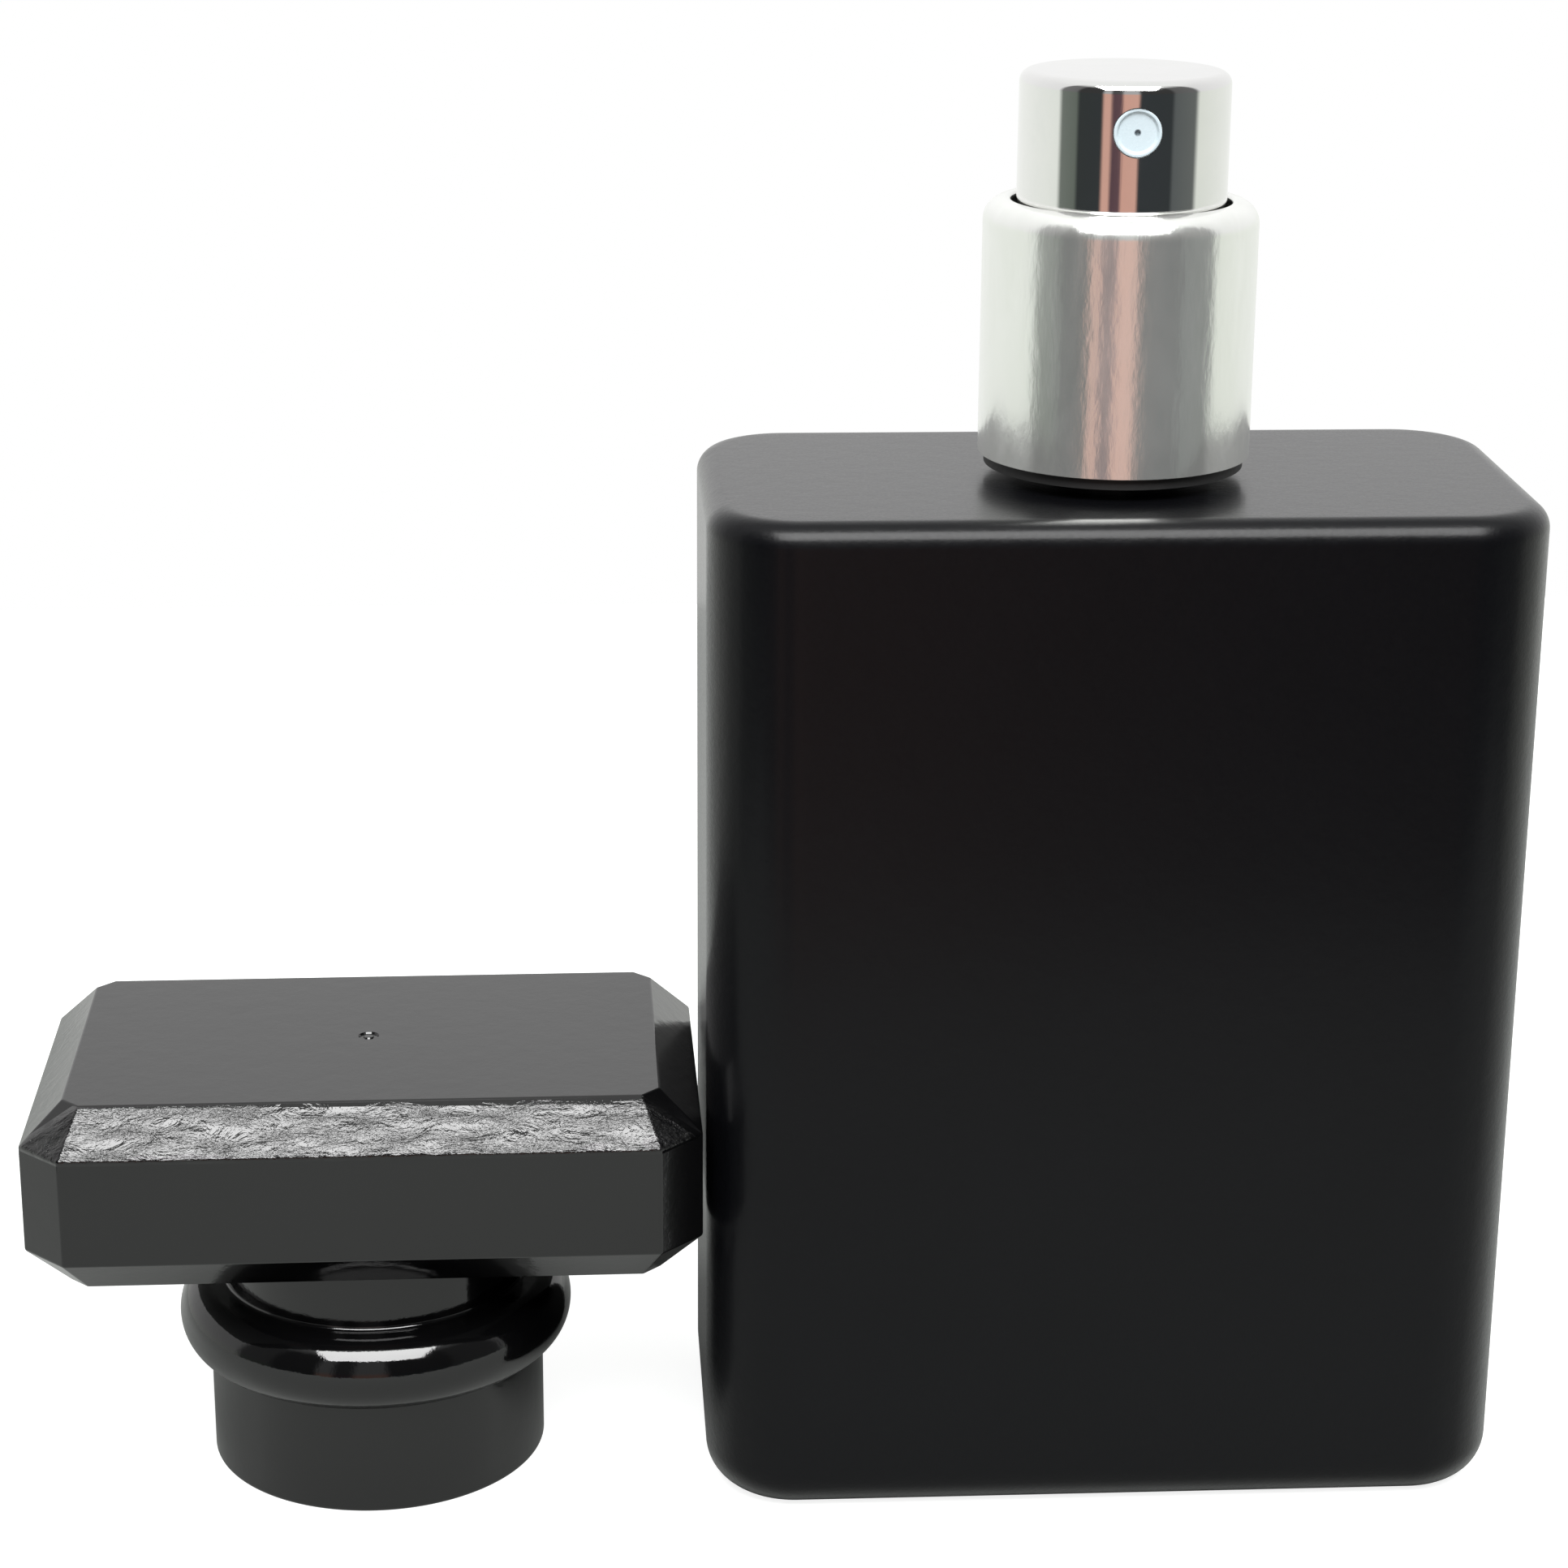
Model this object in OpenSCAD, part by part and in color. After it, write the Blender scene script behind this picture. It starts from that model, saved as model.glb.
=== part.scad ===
// Aftershave bottle with a 15 mm crimp-on mist pump. The cap is off and stands beside the bottle.
// The origin is on the table under the middle of the bottle, +Z up, front towards -Y.

/* [Bottle] */
// Width of the glass body
bottle_w = 53.6; // [44:0.1:70]
// Depth of the glass body, front to back
bottle_d = 28; // [23:0.1:40]
// Height of the glass shoulder above the table
bottle_h = 68.2; // [56:0.1:90]
// Radius of the four upright corners, seen from above
corner_r = 6; // [4.5:0.1:9]
// Radius along the upper edges
edge_r = 1.6; // [1:0.1:2.6]
// Radius along the lower edges
heel_r = 3; // [2:0.1:4]
// Thickness of the glass walls
glass_t = 3; // [1.8:0.1:3.6]
// Thickness of the glass base
base_t = 7; // [4:0.1:10]
// Thickness of the glass shoulder
shoulder_t = 3; // [2:0.1:4]
// Corner radius of the space inside, seen from above
cavity_r = 4; // [3.6:0.1:6]
// Edge radius of the space inside
cavity_edge_r = 1.6; // [0.8:0.1:1.8]
// Width of the foot rim round the hollowed base
foot_rim = 2.6; // [1.5:0.1:3]
// Depth of the hollow in the base
foot_hollow = 0.5; // [0.2:0.1:1.5]

/* [Neck finish] */
// Height of the neck above the shoulder
neck_h = 8.4; // [7.5:0.1:11]
// Radius of the neck below its bead
neck_r = 6.4; // [6.1:0.1:6.8]
// Radius of the crimp bead
bead_r = 7.5; // [7.2:0.1:7.7]
// Height of the crimp bead
bead_h = 3.8; // [3:0.1:4.5]
// Radius of the hole through the neck
neck_bore_r = 4.7; // [4.2:0.1:5.6]

/* [Crimp ferrule] */
// Thickness of the ferrule's sheet
ferrule_t = 0.4; // [0.3:0.05:0.5]
// Radius of the hole in the ferrule's top
ferrule_hole_r = 4.7; // [4.5:0.1:4.9]
// Thickness of the gasket on the glass
gasket_t = 0.8; // [0.5:0.1:1.5]

/* [Collar] */
// Outer radius of the collar
collar_r = 8.8; // [8.7:0.05:10.6]
// Height of the collar
collar_h = 16.4; // [14:0.1:22]
// Gap between the shoulder and the collar
collar_gap = 1.5; // [1.2:0.1:2]
// Thickness of the collar's sheet
collar_t = 0.4; // [0.3:0.05:0.45]
// Radius of the collar's upper edge
collar_edge_r = 1.4; // [0.8:0.1:1.5]
// Gap all round between the push-button and the collar's lip
lip_gap = 0.35; // [0.25:0.05:0.5]
// How far the plastic sleeve shows below the collar's metal
insert_show = 0.7; // [0.2:0.1:1]

/* [Push-button] */
// Radius of the push-button
button_r = 6.7; // [6.4:0.05:6.8]
// Height of the push-button that shows above the collar
button_show = 8.1; // [6.5:0.1:12]
// How far the push-button is pressed
press_travel = 4.2; // [3:0.1:5.2]
// Thickness of the push-button's metal shell
button_t = 0.4; // [0.3:0.05:0.5]
// Radius of the push-button's upper edge
button_edge_r = 0.8; // [0.4:0.05:1.2]
// Wall of the plastic core
core_wall = 0.9; // [0.6:0.1:1]
// Radius of the boss round the stem
boss_r = 3; // [2.6:0.1:3.4]

/* [Nozzle] */
// Radius of the nozzle insert
nozzle_r = 1.5; // [1.2:0.05:1.8]
// Depth of the nozzle insert
nozzle_depth = 2; // [1.6:0.1:2.4]
// Distance from the push-button's top to the middle of the nozzle
nozzle_drop = 3.1; // [2.7:0.1:4]
// Turn of the nozzle away from the front
nozzle_turn = -1; // [-180:1:180]
// Radius of the spray orifice
orifice_r = 0.15; // [0.1:0.01:0.25]

/* [Pump] */
// Radius of the stem
stem_r = 1.65; // [1.5:0.01:2]
// Radius of the hole through the stem
stem_bore_r = 0.7; // [0.5:0.05:0.8]
// Radius of the pump chamber
chamber_r = 2.9; // [2.7:0.05:3.5]
// Length of the pump chamber
chamber_len = 19; // [17:0.1:23]
// Radial room between the pump housing and the neck
housing_room = 0.4; // [0.2:0.05:0.5]
// Thickness of the housing's flange
flange_t = 1.2; // [1:0.1:1.8]
// Height of the turret above the ferrule
turret_h = 2.2; // [1.5:0.1:3]
// Height of the piston
piston_h = 5.6; // [5:0.1:6.5]
// Radius of the return spring's wire
spring_wire_r = 0.22; // [0.15:0.01:0.25]
// Turns of the return spring
spring_turns = 7; // [5:1:9]
// Lift of the outlet poppet
poppet_lift = 0.5; // [0.3:0.05:0.8]
// Radius of the inlet ball
ball_r = 1.1; // [0.9:0.05:1.2]
// Lift of the inlet ball
ball_lift = 0.6; // [0.3:0.05:0.8]
// Outer radius of the dip tube
tube_r = 1.5; // [1.2:0.05:1.6]
// Inner radius of the dip tube
tube_bore_r = 0.75; // [0.5:0.05:0.9]
// Gap between the dip tube and the glass base
tube_gap = 1.5; // [1:0.1:4]

/* [Cap] */
// Length of the cap's slab
slab_l = 44.2; // [36:0.1:54]
// Depth of the cap's slab
slab_d = 28; // [27:0.1:36]
// Height of the cap's slab
slab_h = 12.8; // [10.5:0.1:13]
// Leg of the chamfers at the slab's corners
slab_chamfer = 2.8; // [2:0.1:4]
// Width of the bevels round the slab's top and bottom
bevel_w = 2.8; // [1.5:0.1:3.2]
// Height of those bevels
bevel_h = 2.75; // [1.5:0.05:3.2]
// Thickness of the cap over its bore
cap_top_t = 2.8; // [2:0.1:4]
// Wall of the cap's neck round the liner
cap_neck_wall = 0.9; // [0.8:0.1:1.8]
// Wall of the cap's skirt round the liner
cap_skirt_wall = 2; // [1.2:0.1:2.5]
// How far the bead stands out from the skirt
cap_bead_out = 2; // [1.5:0.1:3]
// Half of the bead's height
cap_bead_half = 2.5; // [2:0.1:3]
// Height of the bead's middle above the cap's rim
cap_bead_z = 10.4; // [8:0.1:12]
// Thickness of the liner
liner_t = 0.5; // [0.4:0.05:0.8]
// Radius of the moulding mark on the cap's top
gate_r = 0.5; // [0.3:0.05:0.8]
// Depth of the moulding mark
gate_depth = 0.12; // [0.05:0.01:0.3]
// Clear gap between the standing cap and the bottle
cap_gap = 0.3; // [0.3:0.1:60]
// How far the cap stands in front of the bottle's middle
cap_forward = 0.7; // [-6:0.1:6]
// Turn of the standing cap
cap_turn = 0.5; // [0:0.1:20]

/* [Fits] */
// Radial clearance between the cap's bore and the collar
cap_fit = 0.1; // [0.05:0.01:0.2]
// Radial clearance of the stem in its socket
socket_fit = 0.03; // [0.02:0.01:0.08]
// Radial clearance of the stem in the turret
guide_fit = 0.08; // [0.05:0.01:0.1]
// Radial clearance of the piston in its chamber
piston_fit = 0.03; // [0.02:0.01:0.08]
// Radial clearance of parts that are clamped or crimped
crimp_fit = 0.05; // [0.03:0.01:0.1]
// Headroom over the push-button in the cap, and under it when pressed
headroom = 0.5; // [0.3:0.1:1.5]
// Gap at faces that rest on each other and then move apart
rest_gap = 0.04; // [0.02:0.01:0.08]

/* [Hidden] */
$fn = 96;
cut = 1; // how far a cutting shape runs past the face it cuts

// Heights up the neck, each built on the one below
neck_top = bottle_h + neck_h;
gasket_top = neck_top + gasket_t;
flange_top = gasket_top + flange_t;
ferrule_top = flange_top + ferrule_t;
turret_top = ferrule_top + turret_h;
collar_low = bottle_h + collar_gap;
collar_top = collar_low + collar_h;
button_top = collar_top + button_show;
button_low = ferrule_top + press_travel + headroom;
boss_low = turret_top + press_travel + headroom;
nozzle_z = button_top - nozzle_drop;

// Ferrule, collar and push-button, from the middle outwards
bead_chamfer = 0.6;
flange_r = bead_r - 0.6;
ferrule_in_r = bead_r + crimp_fit;
ferrule_r = ferrule_in_r + ferrule_t;
crimp_r = neck_r + 0.5;
crimp_low = neck_top - bead_h - ferrule_t - crimp_fit;
collar_hole_r = button_r + lip_gap;
insert_r = collar_r - collar_t;
core_r = button_r - button_t;
skirt_in_r = core_r - core_wall;
core_top = button_top - button_t;
nozzle_face = button_r - 0.08; // distance of the nozzle's face from the axis
nozzle_rim = 0.2;
nozzle_dish = 0.15;
post_r = nozzle_r * 0.5;
channel_r = 0.5;

// Pump, from the flange down
ledge_drop = 1.9;
stem_gasket_t = 0.8;
chamber_top = gasket_top - ledge_drop;
chamber_low = chamber_top - chamber_len;
upper_bore_r = chamber_r + 0.6;
turret_flange_r = ferrule_hole_r + 0.9;
turret_flange_t = 0.8;
turret_r = ferrule_hole_r - 0.1;
housing_r = neck_bore_r - housing_room;
cage_r = ball_r + 0.25;
cage_lip_r = ball_r - 0.15;
cage_lip_t = 0.6;
seat_r = 0.6;
seat_rise = ball_r * sqrt(2) - seat_r; // centre of a ball on a 45 degree seat, above the seat
seat_z = chamber_low - cage_lip_t - 0.2 - ball_lift - ball_r - seat_rise;
socket_top = seat_z - 1;
socket_len = 3;
spigot_r = tube_r + 0.9;
stem_top = nozzle_z - 1.1;
shoulder_r = chamber_r - 0.5;
shoulder_h = 1.2;
shoulder_top = chamber_top - rest_gap;
tail_r = chamber_r - 1.1;
piston_top = shoulder_top - shoulder_h - 0.8;
piston_low = piston_top - piston_h;
piston_r = chamber_r - piston_fit;
lip_h = 0.7;
outlet_seat_t = 0.8;
tail_low = piston_low + outlet_seat_t;
valve_r = tail_r - 0.55;
valve_top = tail_low + 4.2;
outlet_r = 0.5;
outlet_chamfer = 0.3;
poppet_r = valve_r - 0.2;
poppet_t = 0.8;
poppet_spring_r = valve_r - 0.45;
poppet_wire_r = 0.1;
poppet_spring_turns = 5;

// Cap, in its own place with its rim on the table
cap_bore_r = collar_r + cap_fit;
liner_r = cap_bore_r + liner_t;
cap_neck_r = liner_r + cap_neck_wall;
cap_skirt_r = liner_r + cap_skirt_wall;
cap_bore_depth = button_top - bottle_h + headroom;
cap_h = cap_bore_depth + liner_t + cap_top_t;
slab_low = cap_h - slab_h;
cap_x = -(bottle_w / 2 + cap_gap + slab_l / 2 * cos(cap_turn) + slab_d / 2 * sin(cap_turn));

// Points along an arc about c from angle a0 to a1
function arc(c, r, a0, a1, n = 10) =
    [for (i = [0:n]) c + r * [cos(a0 + (a1 - a0) * i / n), sin(a0 + (a1 - a0) * i / n)]];

// A flat rectangle about the origin with round corners
module round_rect(w, h, r) {
    square([w, h - 2 * r], center = true);
    square([w - 2 * r, h], center = true);
    for (x = [-1, 1], y = [-1, 1])
        translate([x * (w / 2 - r), y * (h / 2 - r)])
            circle(r = r);
}

// The right half of an upright section, with rounded upper and lower edges
module half_section(half, h, top_r, low_r) {
    intersection() {
        union() {
            square([half - low_r, h / 2]);
            translate([0, h / 2])
                square([half - top_r, h / 2]);
            translate([0, low_r])
                square([half, h - low_r - top_r]);
            translate([half - low_r, low_r])
                circle(r = low_r);
            translate([half - top_r, h - top_r])
                circle(r = top_r);
        }
        square([half + cut, h]);
    }
}

// A wall of the block: an upright section of the given width, drawn out along Y
module section_bar(w, reach, h, top_r, low_r) {
    rotate([90, 0, 0])
        translate([0, 0, -reach / 2])
            linear_extrude(reach) {
                half_section(w / 2, h, top_r, low_r);
                mirror([1, 0])
                    half_section(w / 2, h, top_r, low_r);
            }
}

// A block standing on z = 0, with round upright corners and rounded upper and lower edges
module rounded_block(w, d, h, plan_r, top_r, low_r) {
    section_bar(w, d - 2 * plan_r, h, top_r, low_r);
    rotate([0, 0, 90])
        section_bar(d, w - 2 * plan_r, h, top_r, low_r);
    for (side = [0, 1], back = [0, 1])
        mirror([side, 0, 0])
            mirror([0, back, 0])
                translate([w / 2 - plan_r, d / 2 - plan_r, 0])
                    rotate_extrude(angle = 90)
                        half_section(plan_r, h, top_r, low_r);
}

// A ring about the Z axis between two radii and two heights
module ring(r_in, r_out, low, high) {
    translate([0, 0, low])
        difference() {
            cylinder(r = r_out, h = high - low);
            translate([0, 0, -cut])
                cylinder(r = r_in, h = high - low + 2 * cut);
        }
}

// A bore down the Z axis between two heights
module bore(r, low, high) {
    translate([0, 0, low])
        cylinder(r = r, h = high - low);
}

// A round wire wound about the Z axis between two heights
module coil(r, wire_r, turns, low, high, sides = 8, steps = 14) {
    rings = turns * steps;
    rise = high - low - 2 * wire_r;
    points = [for (i = [0:rings], s = [0:sides - 1])
        let (a = 360 * i / steps, b = 360 * s / sides, out = r + wire_r * cos(b))
            [out * cos(a), out * sin(a), low + wire_r + rise * i / rings + wire_r * sin(b)]];
    walls = [for (i = [0:rings - 1], s = [0:sides - 1])
        let (t = (s + 1) % sides)
            each [[i * sides + s, (i + 1) * sides + s, (i + 1) * sides + t],
                [i * sides + s, (i + 1) * sides + t, i * sides + t]]];
    first_end = [for (s = [0:sides - 1]) s];
    last_end = [for (s = [sides - 1:-1:0]) rings * sides + s];
    polyhedron(points, concat(walls, [first_end, last_end]));
}

// Moves what follows to where the cap stands
module at_cap() {
    translate([cap_x, -cap_forward, 0])
        rotate([0, 0, cap_turn])
            children();
}

// Moves what follows to the nozzle's middle, with +Z pointing out of the push-button
module at_nozzle() {
    translate([0, 0, nozzle_z])
        rotate([0, 0, nozzle_turn])
            rotate([90, 0, 0])
                children();
}

module glass_bottle() {
    color([0.05, 0.05, 0.055])
        difference() {
            union() {
                rounded_block(bottle_w, bottle_d, bottle_h, corner_r, edge_r, heel_r);
                bore(neck_r, bottle_h - shoulder_t / 2, neck_top - bead_h / 2);
                rotate_extrude()
                    polygon([[0, neck_top - bead_h],
                        [bead_r - bead_chamfer, neck_top - bead_h],
                        [bead_r, neck_top - bead_h + bead_chamfer],
                        [bead_r, neck_top - bead_chamfer / 2],
                        [bead_r - bead_chamfer / 2, neck_top],
                        [0, neck_top]]);
            }
            translate([0, 0, base_t])
                rounded_block(bottle_w - 2 * glass_t, bottle_d - 2 * glass_t,
                    bottle_h - base_t - shoulder_t, cavity_r, cavity_edge_r, cavity_edge_r);
            bore(neck_bore_r, bottle_h - shoulder_t - cut, neck_top + cut);
            translate([0, 0, -cut])
                linear_extrude(cut + foot_hollow)
                    round_rect(bottle_w - 2 * (heel_r + foot_rim),
                        bottle_d - 2 * (heel_r + foot_rim), corner_r - heel_r);
        }
}

module neck_gasket() {
    color([0.85, 0.85, 0.82])
        ring(housing_r + crimp_fit, bead_r - bead_chamfer / 2, neck_top, gasket_top);
}

module crimp_ferrule() {
    bead_low = neck_top - bead_h;
    color([0.8, 0.8, 0.78])
        rotate_extrude()
            polygon([[ferrule_hole_r, ferrule_top],
                [ferrule_r, ferrule_top],
                [ferrule_r, bead_low + bead_chamfer / 2],
                [crimp_r + ferrule_t, crimp_low],
                [crimp_r, crimp_low],
                [crimp_r, bead_low - crimp_fit],
                [ferrule_in_r, bead_low + bead_chamfer],
                [ferrule_in_r, flange_top],
                [ferrule_hole_r, flange_top]]);
}

module collar_insert() {
    color([0.05, 0.05, 0.05])
        difference() {
            bore(insert_r, collar_low - insert_show, collar_top - collar_edge_r);
            bore(ferrule_r + crimp_fit, bottle_h, ferrule_top);
            bore(collar_hole_r + crimp_fit, collar_low, collar_top);
        }
}

module collar_shell() {
    color([0.86, 0.87, 0.84])
        rotate_extrude()
            polygon(concat(
                [[insert_r, collar_low], [collar_r, collar_low]],
                arc([collar_r - collar_edge_r, collar_top - collar_edge_r], collar_edge_r, 0, 90),
                arc([collar_hole_r + collar_t / 2, collar_top - collar_t / 2], collar_t / 2, 90, 270),
                arc([collar_r - collar_edge_r, collar_top - collar_edge_r],
                    collar_edge_r - collar_t, 90, 0)));
}

module pump_housing() {
    taper = housing_r - spigot_r;
    color([0.93, 0.93, 0.9])
        difference() {
            union() {
                bore(flange_r, gasket_top, flange_top);
                rotate_extrude()
                    polygon([[0, socket_top - socket_len],
                        [spigot_r, socket_top - socket_len],
                        [spigot_r, chamber_low - cage_lip_t - taper],
                        [housing_r, chamber_low - cage_lip_t],
                        [housing_r, gasket_top + flange_t / 2],
                        [0, gasket_top + flange_t / 2]]);
            }
            bore(turret_flange_r + crimp_fit, flange_top - turret_flange_t, flange_top + cut);
            bore(upper_bore_r, chamber_top, flange_top);
            bore(chamber_r, chamber_low, chamber_top + cut);
            bore(cage_lip_r, chamber_low - cut, chamber_low + cut);
            bore(cage_r, seat_z + cage_r - seat_r, chamber_low - cage_lip_t);
            translate([0, 0, seat_z])
                cylinder(r1 = seat_r, r2 = cage_r, h = cage_r - seat_r);
            bore(seat_r, socket_top - cut, seat_z + cut / 4);
            bore(tube_r, socket_top - socket_len - cut, socket_top);
        }
}

module pump_turret() {
    color([0.95, 0.95, 0.93])
        difference() {
            union() {
                bore(upper_bore_r, chamber_top + stem_gasket_t, flange_top - turret_flange_t / 2);
                bore(turret_flange_r, flange_top - turret_flange_t, flange_top);
                bore(turret_r, flange_top - turret_flange_t / 2, turret_top);
            }
            bore(stem_r + guide_fit, chamber_top, turret_top + cut);
        }
}

module stem_gasket() {
    color([0.3, 0.3, 0.3])
        ring(stem_r + socket_fit, upper_bore_r, chamber_top, chamber_top + stem_gasket_t);
}

module pump_stem() {
    shoulder_low = shoulder_top - shoulder_h;
    color([0.95, 0.95, 0.95])
        difference() {
            union() {
                bore(stem_r, shoulder_low, stem_top);
                bore(shoulder_r, shoulder_low, shoulder_top);
                bore(tail_r, tail_low, shoulder_low + shoulder_h / 2);
            }
            bore(stem_bore_r, tail_low, stem_top + cut);
            bore(valve_r, tail_low - cut, valve_top);
        }
}

module pump_piston() {
    waist_r = piston_r - 0.4;
    color([0.75, 0.8, 0.85])
        difference() {
            union() {
                bore(waist_r, piston_low, piston_top);
                bore(piston_r, piston_low, piston_low + lip_h);
                bore(piston_r, piston_top - lip_h, piston_top);
            }
            bore(tail_r, tail_low, piston_top + cut);
            bore(outlet_r, piston_low - cut, tail_low + cut);
            translate([0, 0, tail_low - outlet_chamfer])
                cylinder(r1 = outlet_r, r2 = outlet_r + outlet_chamfer, h = outlet_chamfer);
        }
}

module outlet_poppet() {
    low = tail_low + rest_gap;
    color([0.2, 0.45, 0.75])
        rotate_extrude()
            polygon([[0, low - outlet_chamfer],
                [outlet_r - rest_gap, low - outlet_chamfer],
                [outlet_r + outlet_chamfer - rest_gap, low],
                [poppet_r, low],
                [poppet_r, low + poppet_t],
                [poppet_spring_r - 2 * poppet_wire_r, low + poppet_t],
                [poppet_spring_r - 2 * poppet_wire_r, valve_top - poppet_lift - 1.2],
                [0, valve_top - poppet_lift - 1.2]]);
}

module poppet_spring() {
    color([0.7, 0.7, 0.72])
        coil(poppet_spring_r, poppet_wire_r, poppet_spring_turns,
            tail_low + 2 * rest_gap + poppet_t, valve_top - rest_gap, sides = 6, steps = 12);
}

module main_spring() {
    color([0.7, 0.7, 0.72])
        coil(chamber_r - 0.4 - spring_wire_r, spring_wire_r, spring_turns,
            chamber_low + rest_gap, piston_low - rest_gap);
}

module inlet_ball() {
    color([0.6, 0.6, 0.62])
        translate([0, 0, seat_z + seat_rise + rest_gap])
            sphere(r = ball_r);
}

module dip_tube() {
    tube_low = base_t + tube_gap;
    color([0.9, 0.92, 0.92])
        difference() {
            ring(tube_bore_r, tube_r, tube_low, socket_top);
            translate([0, 0, tube_low])
                rotate([0, 35, 0])
                    translate([-3 * tube_r, -2 * tube_r, -4 * tube_r])
                        cube([8 * tube_r, 4 * tube_r, 4 * tube_r]);
        }
}

module actuator_core() {
    roof_low = nozzle_z - nozzle_r - core_wall;
    color([0.85, 0.85, 0.84])
        difference() {
            bore(core_r, button_low, core_top);
            difference() {
                bore(skirt_in_r, button_low - cut, roof_low);
                bore(boss_r, boss_low, roof_low + cut);
            }
            bore(stem_r + socket_fit, boss_low - cut, stem_top + rest_gap);
            bore(channel_r, stem_top - cut, nozzle_z);
            at_nozzle() {
                ring(post_r, nozzle_r, nozzle_face - nozzle_depth, core_r + cut);
                bore(channel_r, 0, core_r - nozzle_depth);
                bore(nozzle_r, nozzle_face - nozzle_rim - nozzle_dish - orifice_r, core_r + cut);
            }
        }
}

module actuator_shell() {
    color([0.88, 0.89, 0.87])
        difference() {
            rotate_extrude()
                polygon(concat(
                    [[0, button_top], [0, core_top], [core_r, core_top], [core_r, button_low],
                        [button_r, button_low]],
                    arc([button_r - button_edge_r, button_top - button_edge_r],
                        button_edge_r, 0, 90)));
            at_nozzle()
                bore(nozzle_r + crimp_fit, 0, button_r + cut);
        }
}

module nozzle_insert() {
    floor_t = nozzle_rim + orifice_r;
    dish_z = nozzle_face - nozzle_dish;
    color([0.82, 0.88, 0.9])
        at_nozzle()
            difference() {
                bore(nozzle_r, nozzle_face - nozzle_depth, nozzle_face);
                bore(nozzle_r - nozzle_rim, dish_z, nozzle_face + cut);
                bore(post_r, nozzle_face - nozzle_depth - cut, dish_z - floor_t);
                bore(orifice_r, dish_z - floor_t - cut / 2, nozzle_face);
            }
}

// A bar along Y with bevelled upper and lower edges, half_w to each side
module bevelled_bar(half_w) {
    reach = slab_l + slab_d;
    rotate([90, 0, 0])
        translate([0, 0, -reach / 2])
            linear_extrude(reach)
                polygon([for (x = [-1, 1], z = (x < 0 ? [0, 1, 2, 3] : [3, 2, 1, 0]))
                    [x * (half_w - (z == 0 || z == 3 ? bevel_w : 0)),
                        [slab_low, slab_low + bevel_h, cap_h - bevel_h, cap_h][z]]]);
}

module cap_shell() {
    corner_half = (slab_l / 2 + slab_d / 2 - slab_chamfer) / sqrt(2);
    color([0.04, 0.04, 0.045])
        at_cap()
            difference() {
                union() {
                    intersection() {
                        bevelled_bar(slab_l / 2);
                        rotate([0, 0, 90])
                            bevelled_bar(slab_d / 2);
                        rotate([0, 0, 45])
                            bevelled_bar(corner_half);
                        rotate([0, 0, -45])
                            bevelled_bar(corner_half);
                    }
                    bore(cap_neck_r, cap_bead_z, slab_low + cut);
                    bore(cap_skirt_r, 0, cap_bead_z);
                    rotate_extrude()
                        polygon(concat([[0, cap_bead_z - cap_bead_half]],
                            [for (a = [-90:9:90])
                                [cap_skirt_r + cap_bead_out * cos(a),
                                    cap_bead_z + cap_bead_half * sin(a)]],
                            [[0, cap_bead_z + cap_bead_half]]));
                }
                bore(liner_r, -cut, cap_bore_depth + liner_t);
                bore(gate_r, cap_h - gate_depth, cap_h + cut);
            }
}

module cap_liner() {
    color([0.12, 0.12, 0.12])
        at_cap()
            difference() {
                bore(liner_r, 0.3, cap_bore_depth + liner_t);
                bore(cap_bore_r, -cut, cap_bore_depth);
            }
}

glass_bottle();
neck_gasket();
crimp_ferrule();
collar_insert();
collar_shell();
pump_housing();
pump_turret();
stem_gasket();
pump_stem();
pump_piston();
outlet_poppet();
poppet_spring();
main_spring();
inlet_ball();
dip_tube();
actuator_core();
actuator_shell();
nozzle_insert();
cap_shell();
cap_liner();
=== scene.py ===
import math

import bmesh
import bpy
from mathutils import Matrix, Vector


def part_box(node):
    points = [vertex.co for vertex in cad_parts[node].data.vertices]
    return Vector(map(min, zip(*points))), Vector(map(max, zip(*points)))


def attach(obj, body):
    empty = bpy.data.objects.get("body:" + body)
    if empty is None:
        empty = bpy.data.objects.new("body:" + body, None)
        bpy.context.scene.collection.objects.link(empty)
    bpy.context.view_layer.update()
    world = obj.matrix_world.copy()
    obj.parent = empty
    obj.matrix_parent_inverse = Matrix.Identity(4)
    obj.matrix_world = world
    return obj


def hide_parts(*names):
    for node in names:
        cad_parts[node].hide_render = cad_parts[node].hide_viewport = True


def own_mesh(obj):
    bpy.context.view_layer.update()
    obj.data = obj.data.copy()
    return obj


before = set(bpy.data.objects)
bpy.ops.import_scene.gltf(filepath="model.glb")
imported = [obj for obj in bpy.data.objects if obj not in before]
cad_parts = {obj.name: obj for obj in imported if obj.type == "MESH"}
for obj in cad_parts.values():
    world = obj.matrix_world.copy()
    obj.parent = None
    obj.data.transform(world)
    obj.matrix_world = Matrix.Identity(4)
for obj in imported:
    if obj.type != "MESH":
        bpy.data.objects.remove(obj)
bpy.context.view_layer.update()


# The view. It stands a little above the bottle and to its left, so that the tops of the bottle
# and of the cap beside it both show.
view_place = Matrix.Translation((-0.03489, -0.22897, 0.12154))
view_turn = Matrix.Rotation(math.radians(-3.4), 4, "Z")
view_tilt = Matrix.Rotation(math.radians(72.02), 4, "X")
view_roll = Matrix.Rotation(math.radians(0.38), 4, "Z")
lens = bpy.data.cameras.new("view")
lens.lens = 83.0
lens.sensor_width = 36.0
lens.clip_start = 0.01
lens.clip_end = 20.0
view = bpy.data.objects.new("view", lens)
view.matrix_world = view_place @ view_turn @ view_tilt @ view_roll
bpy.context.scene.collection.objects.link(view)
bpy.context.scene.camera = view
bpy.context.scene.view_settings.view_transform = "Standard"


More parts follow.
